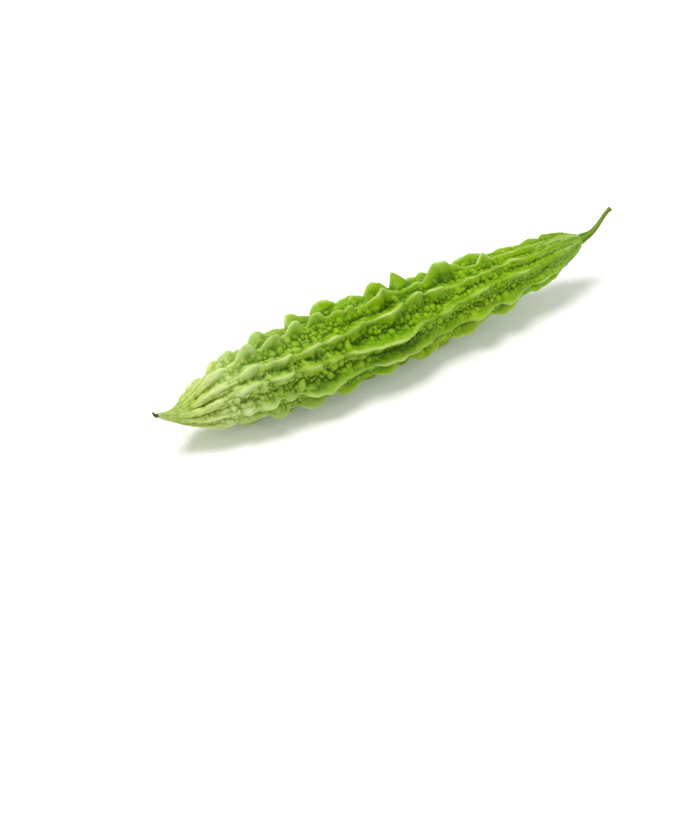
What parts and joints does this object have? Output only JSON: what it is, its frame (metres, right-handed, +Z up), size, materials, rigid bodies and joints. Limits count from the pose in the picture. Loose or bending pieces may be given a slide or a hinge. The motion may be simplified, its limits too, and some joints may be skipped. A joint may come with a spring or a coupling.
{
  "type": "bitter gourd",
  "caption": "Whole fresh bitter gourd lying on its side, spindle-shaped with broken warty ridges, a short bent stalk and a dried flower tip.",
  "frame": {"origin": "centre of the underside of the bounding box, on the surface the gourd lies on", "axes": "+X along the fruit from the flower end to the stalk, +Z up"},
  "size_m": [0.2732, 0.046, 0.045],
  "materials": {
    "fruit": "waxy green skin with a soft gloss",
    "stem": "matt green stalk",
    "blossom_tip": "dry brown"
  },
  "bodies": {
    "root": {"fruit": "fruit", "stem": "stem", "blossom_tip": "blossom_tip"}
  },
  "joints": []
}
